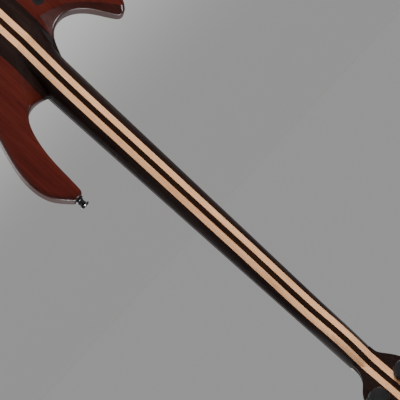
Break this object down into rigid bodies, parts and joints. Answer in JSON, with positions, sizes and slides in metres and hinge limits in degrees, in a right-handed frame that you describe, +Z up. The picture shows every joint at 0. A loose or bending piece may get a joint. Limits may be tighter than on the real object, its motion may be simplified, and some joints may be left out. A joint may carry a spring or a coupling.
{
  "type": "bouzouki",
  "caption": "Solid-body electric bouzouki: a striped laminated neck running through a horned body, paired strings and a tilted head with machine heads.",
  "frame": {"origin": "seat of the end strap button, in the middle of the body's thickness", "axes": "+Z up the neck to the head, -Y the string side, +Y the back, +X the treble side"},
  "size_m": [0.2994, 0.0769, 0.97],
  "materials": {
    "centre_wood": "satin oil",
    "maple_wood": "satin oil",
    "outer_wood": "satin oil",
    "wing_wood": "gloss lacquer",
    "fretboard_wood": "oiled",
    "fret_metal": "polished",
    "marker_pearl": "polished",
    "nut_bone": "polished",
    "veneer_wood": "gloss lacquer",
    "rod_steel": "plain",
    "rod_nut_brass": "plain",
    "small_cover_plastic": "gloss",
    "housing_metal": "black",
    "bushing_metal": "black",
    "post_metal": "black",
    "button_metal": "black",
    "screw_metal": "black",
    "string_steel": "plain",
    "bridge_metal": "black",
    "saddle_metal": "black",
    "pickup_plastic": "satin",
    "rail_steel": "plain",
    "cavity_cover_plastic": "satin",
    "pot_metal": "plain",
    "shaft_metal": "plain",
    "knob_metal": "black",
    "switch_metal": "black",
    "lever_metal": "black",
    "jack_metal": "black",
    "strap_metal": "black"
  },
  "bodies": {
    "instrument": {"neck_centre_ply": "centre_wood", "neck_maple_ply_bass": "maple_wood", "neck_maple_ply_treble": "maple_wood", "neck_outer_ply_bass": "outer_wood", "neck_outer_ply_treble": "outer_wood", "body_wing_bass": "wing_wood", "body_wing_treble": "wing_wood", "fretboard": "fretboard_wood", "frets": "fret_metal", "fret_markers": "marker_pearl", "nut": "nut_bone", "head_veneer": "veneer_wood", "truss_rod": "rod_steel", "truss_rod_cover": "small_cover_plastic", "tuner_housings": "housing_metal", "tuner_bushings": "bushing_metal", "head_screws": "screw_metal", "bridge_screws": "screw_metal", "pickup_screws": "screw_metal", "cover_screws": "screw_metal", "strap_button_screws": "screw_metal", "intonation_screws": "screw_metal", "strings": "string_steel", "bridge_base": "bridge_metal", "pickup_neck": "pickup_plastic", "pickup_bridge": "pickup_plastic", "pickup_rails": "rail_steel", "control_cover": "cavity_cover_plastic", "potentiometers": "pot_metal", "toggle_switch": "switch_metal", "output_jack": "jack_metal", "strap_buttons": "strap_metal"},
    "button_body_1": {"tuner_button_1": "button_metal"},
    "post_body_1": {"tuner_post_1": "post_metal"},
    "button_body_2": {"tuner_button_2": "button_metal"},
    "post_body_2": {"tuner_post_2": "post_metal"},
    "button_body_3": {"tuner_button_3": "button_metal"},
    "post_body_3": {"tuner_post_3": "post_metal"},
    "button_body_4": {"tuner_button_4": "button_metal"},
    "post_body_4": {"tuner_post_4": "post_metal"},
    "button_body_5": {"tuner_button_5": "button_metal"},
    "post_body_5": {"tuner_post_5": "post_metal"},
    "button_body_6": {"tuner_button_6": "button_metal"},
    "post_body_6": {"tuner_post_6": "post_metal"},
    "button_body_7": {"tuner_button_7": "button_metal"},
    "post_body_7": {"tuner_post_7": "post_metal"},
    "button_body_8": {"tuner_button_8": "button_metal"},
    "post_body_8": {"tuner_post_8": "post_metal"},
    "saddle_body_1": {"saddle_1": "saddle_metal"},
    "saddle_body_2": {"saddle_2": "saddle_metal"},
    "saddle_body_3": {"saddle_3": "saddle_metal"},
    "saddle_body_4": {"saddle_4": "saddle_metal"},
    "volume_control": {"knob_shaft_volume": "shaft_metal", "knob_volume": "knob_metal"},
    "blend_control": {"knob_shaft_blend": "shaft_metal", "knob_blend": "knob_metal"},
    "tone_control": {"knob_shaft_tone": "shaft_metal", "knob_tone": "knob_metal"},
    "toggle": {"toggle_lever": "lever_metal"},
    "rod_nut": {"truss_rod_nut": "rod_nut_brass"}
  },
  "joints": [
    {"name": "button_turn_1", "type": "hinge", "parent": "instrument", "child": "button_body_1", "pos_m": [-0.04878, 0.00832, 0.80666], "axis": [1, 0, 0], "continuous": true},
    {"name": "post_turn_1", "type": "hinge", "parent": "instrument", "child": "post_body_1", "pos_m": [-0.02178, -0.00933, 0.8169], "axis": [0, -0.9744, 0.225], "continuous": true},
    {"name": "button_turn_2", "type": "hinge", "parent": "instrument", "child": "button_body_2", "pos_m": [-0.04713, 0.01687, 0.84369], "axis": [1, 0, 0], "continuous": true},
    {"name": "post_turn_2", "type": "hinge", "parent": "instrument", "child": "post_body_2", "pos_m": [-0.02013, -0.00078, 0.85392], "axis": [0, -0.9744, 0.225], "continuous": true},
    {"name": "button_turn_3", "type": "hinge", "parent": "instrument", "child": "button_body_3", "pos_m": [-0.04548, 0.02542, 0.88072], "axis": [1, 0, 0], "continuous": true},
    {"name": "post_turn_3", "type": "hinge", "parent": "instrument", "child": "post_body_3", "pos_m": [-0.01848, 0.00777, 0.89095], "axis": [0, -0.9744, 0.225], "continuous": true},
    {"name": "button_turn_4", "type": "hinge", "parent": "instrument", "child": "button_body_4", "pos_m": [-0.04383, 0.03397, 0.91774], "axis": [1, 0, 0], "continuous": true},
    {"name": "post_turn_4", "type": "hinge", "parent": "instrument", "child": "post_body_4", "pos_m": [-0.01683, 0.01632, 0.92798], "axis": [0, -0.9744, 0.225], "continuous": true},
    {"name": "button_turn_5", "type": "hinge", "parent": "instrument", "child": "button_body_5", "pos_m": [0.04278, 0.00832, 0.80666], "axis": [1, 0, 0], "continuous": true},
    {"name": "post_turn_5", "type": "hinge", "parent": "instrument", "child": "post_body_5", "pos_m": [0.01578, -0.00933, 0.8169], "axis": [0, -0.9744, 0.225], "continuous": true},
    {"name": "button_turn_6", "type": "hinge", "parent": "instrument", "child": "button_body_6", "pos_m": [0.04113, 0.01687, 0.84369], "axis": [1, 0, 0], "continuous": true},
    {"name": "post_turn_6", "type": "hinge", "parent": "instrument", "child": "post_body_6", "pos_m": [0.01413, -0.00078, 0.85392], "axis": [0, -0.9744, 0.225], "continuous": true},
    {"name": "button_turn_7", "type": "hinge", "parent": "instrument", "child": "button_body_7", "pos_m": [0.03948, 0.02542, 0.88072], "axis": [1, 0, 0], "continuous": true},
    {"name": "post_turn_7", "type": "hinge", "parent": "instrument", "child": "post_body_7", "pos_m": [0.01248, 0.00777, 0.89095], "axis": [0, -0.9744, 0.225], "continuous": true},
    {"name": "button_turn_8", "type": "hinge", "parent": "instrument", "child": "button_body_8", "pos_m": [0.03783, 0.03397, 0.91774], "axis": [1, 0, 0], "continuous": true},
    {"name": "post_turn_8", "type": "hinge", "parent": "instrument", "child": "post_body_8", "pos_m": [0.01083, 0.01632, 0.92798], "axis": [0, -0.9744, 0.225], "continuous": true},
    {"name": "saddle_slide_1", "type": "slide", "parent": "instrument", "child": "saddle_body_1", "axis": [0, 0, 1], "range_m": [-0.003, 0.003]},
    {"name": "saddle_slide_2", "type": "slide", "parent": "instrument", "child": "saddle_body_2", "axis": [0, 0, 1], "range_m": [-0.003, 0.003]},
    {"name": "saddle_slide_3", "type": "slide", "parent": "instrument", "child": "saddle_body_3", "axis": [0, 0, 1], "range_m": [-0.003, 0.003]},
    {"name": "saddle_slide_4", "type": "slide", "parent": "instrument", "child": "saddle_body_4", "axis": [0, 0, 1], "range_m": [-0.003, 0.003]},
    {"name": "volume_turn", "type": "hinge", "parent": "instrument", "child": "volume_control", "pos_m": [0.07395, -0.019, 0.16813], "axis": [0, -1, 0], "range_deg": [-150, 150]},
    {"name": "blend_turn", "type": "hinge", "parent": "instrument", "child": "blend_control", "pos_m": [0.08895, -0.019, 0.13588], "axis": [0, -1, 0], "range_deg": [-150, 150]},
    {"name": "tone_turn", "type": "hinge", "parent": "instrument", "child": "tone_control", "pos_m": [0.10305, -0.019, 0.10492], "axis": [0, -1, 0], "range_deg": [-150, 150]},
    {"name": "toggle_flip", "type": "hinge", "parent": "instrument", "child": "toggle", "pos_m": [0.05895, -0.017, 0.20683], "axis": [1, 0, 0], "range_deg": [-12, 12]},
    {"name": "rod_nut_turn", "type": "hinge", "parent": "instrument", "child": "rod_nut", "pos_m": [0, -0.0124, 0.783], "axis": [0, 0, 1], "range_deg": [-180, 180]}
  ],
  "couplings": [
    {"joint": "post_turn_1", "follows": "button_turn_1", "ratio": 0.066667},
    {"joint": "post_turn_2", "follows": "button_turn_2", "ratio": 0.066667},
    {"joint": "post_turn_3", "follows": "button_turn_3", "ratio": 0.066667},
    {"joint": "post_turn_4", "follows": "button_turn_4", "ratio": 0.066667},
    {"joint": "post_turn_5", "follows": "button_turn_5", "ratio": -0.066667},
    {"joint": "post_turn_6", "follows": "button_turn_6", "ratio": -0.066667},
    {"joint": "post_turn_7", "follows": "button_turn_7", "ratio": -0.066667},
    {"joint": "post_turn_8", "follows": "button_turn_8", "ratio": -0.066667}
  ]
}
